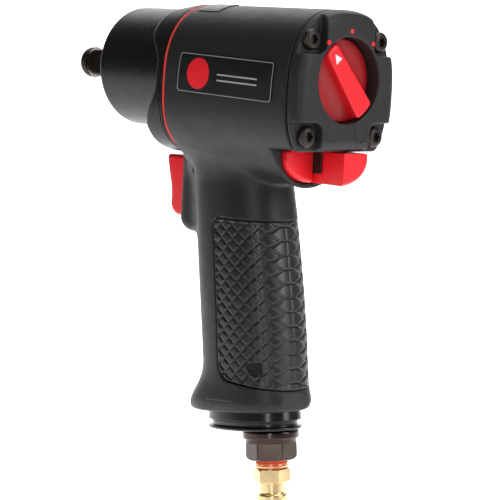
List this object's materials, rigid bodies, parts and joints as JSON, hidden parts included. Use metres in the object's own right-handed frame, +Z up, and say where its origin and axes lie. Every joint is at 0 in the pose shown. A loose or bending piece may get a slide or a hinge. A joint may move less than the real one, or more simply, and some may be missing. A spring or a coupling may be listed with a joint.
{
  "type": "impact wrench",
  "caption": "Pistol-shaped air impact wrench with a square drive, trigger, two push buttons for direction, a rear power dial and an air plug under the handle.",
  "frame": {"origin": "centre of the anvil's square front face, on the spindle axis", "axes": "+Y forward along the spindle, out of the square drive; +X to the right of the person who holds it; +Z up"},
  "size_m": [0.0629, 0.1655, 0.2281],
  "materials": {
    "composite": "fine textured charcoal glass-filled composite",
    "case": "satin black coated light alloy",
    "cover": "fine textured charcoal composite, slightly lighter",
    "red": "semi-gloss red moulded plastic",
    "gasket": "matte red gasket sheet",
    "rubber": "matte black moulded grip rubber",
    "gloss": "glossy black plastic",
    "steel": "machined steel",
    "dark_steel": "dark brown-black oxidised steel",
    "cast": "machined cast iron",
    "brass": "bright turned brass",
    "bronze": "sintered bronze",
    "alloy": "machined aluminium",
    "vane": "brown phenolic fibre",
    "nitrile": "black nitrile rubber",
    "sealant": "orange-red thread sealant",
    "label": "black foil with a silver border",
    "felt": "grey felt",
    "mesh": "woven bronze wire screen"
  },
  "bodies": {
    "housing": {"hammer_case": "case", "case_gasket": "gasket", "motor_housing": "composite", "rear_cover": "cover", "cover_gasket": "nitrile", "housing_screw_1": "dark_steel", "housing_screw_2": "dark_steel", "housing_screw_3": "dark_steel", "housing_screw_4": "dark_steel", "anvil_bushing": "bronze", "anvil_seal": "nitrile", "motor_cylinder": "cast", "front_end_plate": "cast", "rear_end_plate": "cast", "front_bearing_outer_race": "steel", "rear_bearing_outer_race": "steel", "dial_o_ring": "nitrile", "detent_spring": "steel", "reverse_bushing": "steel", "trigger_pin": "steel", "throttle_bushing": "brass", "valve_spring": "steel", "inlet_bushing": "dark_steel", "inlet_o_ring": "nitrile", "inlet_screen": "mesh", "air_plug": "brass", "thread_seal": "sealant", "exhaust_deflector": "gloss", "exhaust_silencer": "felt", "grip_sleeve": "rubber", "side_label": "label", "top_label": "label"},
    "rotor_and_cage": {"rotor": "steel", "hammer_cage": "steel", "hammer_pin_left": "steel", "hammer_pin_right": "steel", "front_bearing_inner_race": "steel", "rear_bearing_inner_race": "steel", "vane_1": "vane", "vane_2": "vane", "vane_3": "vane", "vane_4": "vane", "vane_5": "vane", "vane_6": "vane"},
    "anvil_shaft": {"anvil": "dark_steel", "socket_retainer_ring": "steel"},
    "front_hammer": {"hammer_front": "steel"},
    "rear_hammer": {"hammer_rear": "steel"},
    "front_ball_ring": {"front_bearing_balls": "steel"},
    "rear_ball_ring": {"rear_bearing_balls": "steel"},
    "trigger_set": {"trigger": "red", "throttle_stem": "steel"},
    "throttle_poppet": {"tip_valve": "brass"},
    "power_dial": {"regulator_dial": "red", "regulator_valve": "alloy"},
    "dial_detent": {"detent_ball": "steel"},
    "left_button": {"reverse_button_left": "red"},
    "right_button": {"reverse_button_right": "red"},
    "reverse_spool": {"reverse_valve": "steel"}
  },
  "joints": [
    {"name": "rotor_spin", "type": "hinge", "parent": "housing", "child": "rotor_and_cage", "pos_m": [0, -0.113, 0], "axis": [0, 1, 0], "continuous": true},
    {"name": "anvil_spin", "type": "hinge", "parent": "housing", "child": "anvil_shaft", "pos_m": [0, -0.04, 0], "axis": [0, 1, 0], "continuous": true},
    {"name": "front_ball_ring_spin", "type": "hinge", "parent": "housing", "child": "front_ball_ring", "pos_m": [0, -0.0902, 0], "axis": [0, 1, 0], "continuous": true},
    {"name": "rear_ball_ring_spin", "type": "hinge", "parent": "housing", "child": "rear_ball_ring", "pos_m": [0, -0.1371, 0], "axis": [0, 1, 0], "continuous": true},
    {"name": "front_hammer_swing", "type": "hinge", "parent": "rotor_and_cage", "child": "front_hammer", "pos_m": [0.0162, -0.0549, 0], "axis": [0, 1, 0], "range_deg": [-3.5, 3.5]},
    {"name": "rear_hammer_swing", "type": "hinge", "parent": "rotor_and_cage", "child": "rear_hammer", "pos_m": [-0.0162, -0.0687, 0], "axis": [0, 1, 0], "range_deg": [-3.5, 3.5]},
    {"name": "trigger_pull", "type": "slide", "parent": "housing", "child": "trigger_set", "axis": [0, -1, 0], "range_m": [0, 0.006], "stiffness_N_per_m": 1200, "springref_m": -0.006},
    {"name": "throttle_poppet_lift", "type": "slide", "parent": "housing", "child": "throttle_poppet", "axis": [0, -1, 0], "range_m": [0, 0.006], "deforming": ["valve_spring"]},
    {"name": "power_dial_turn", "type": "hinge", "parent": "housing", "child": "power_dial", "pos_m": [0, -0.1593, 0], "axis": [0, 1, 0], "range_deg": [0, 81]},
    {"name": "detent_press", "type": "slide", "parent": "housing", "child": "dial_detent", "axis": [0, 1, 0], "range_m": [0, 0.0004], "stiffness_N_per_m": 300, "springref_m": -0.0005, "deforming": ["detent_spring"]},
    {"name": "reverse_spool_turn", "type": "hinge", "parent": "housing", "child": "reverse_spool", "pos_m": [0, -0.1184, -0.0315], "axis": [0, 0, 1], "range_deg": [0, 134.72]},
    {"name": "right_button_slide", "type": "slide", "parent": "housing", "child": "right_button", "axis": [0, 1, 0], "range_m": [0, 0.0174]},
    {"name": "left_button_slide", "type": "slide", "parent": "housing", "child": "left_button", "axis": [0, -1, 0], "range_m": [0, 0.0174]}
  ],
  "couplings": [
    {"joint": "anvil_spin", "follows": "rotor_spin", "ratio": 1},
    {"joint": "front_ball_ring_spin", "follows": "rotor_spin", "ratio": 0.43},
    {"joint": "rear_ball_ring_spin", "follows": "rotor_spin", "ratio": 0.43},
    {"joint": "throttle_poppet_lift", "follows": "trigger_pull", "ratio": 1},
    {"joint": "right_button_slide", "follows": "reverse_spool_turn", "m_per_rad": 0.0074},
    {"joint": "left_button_slide", "follows": "reverse_spool_turn", "m_per_rad": 0.0074}
  ]
}
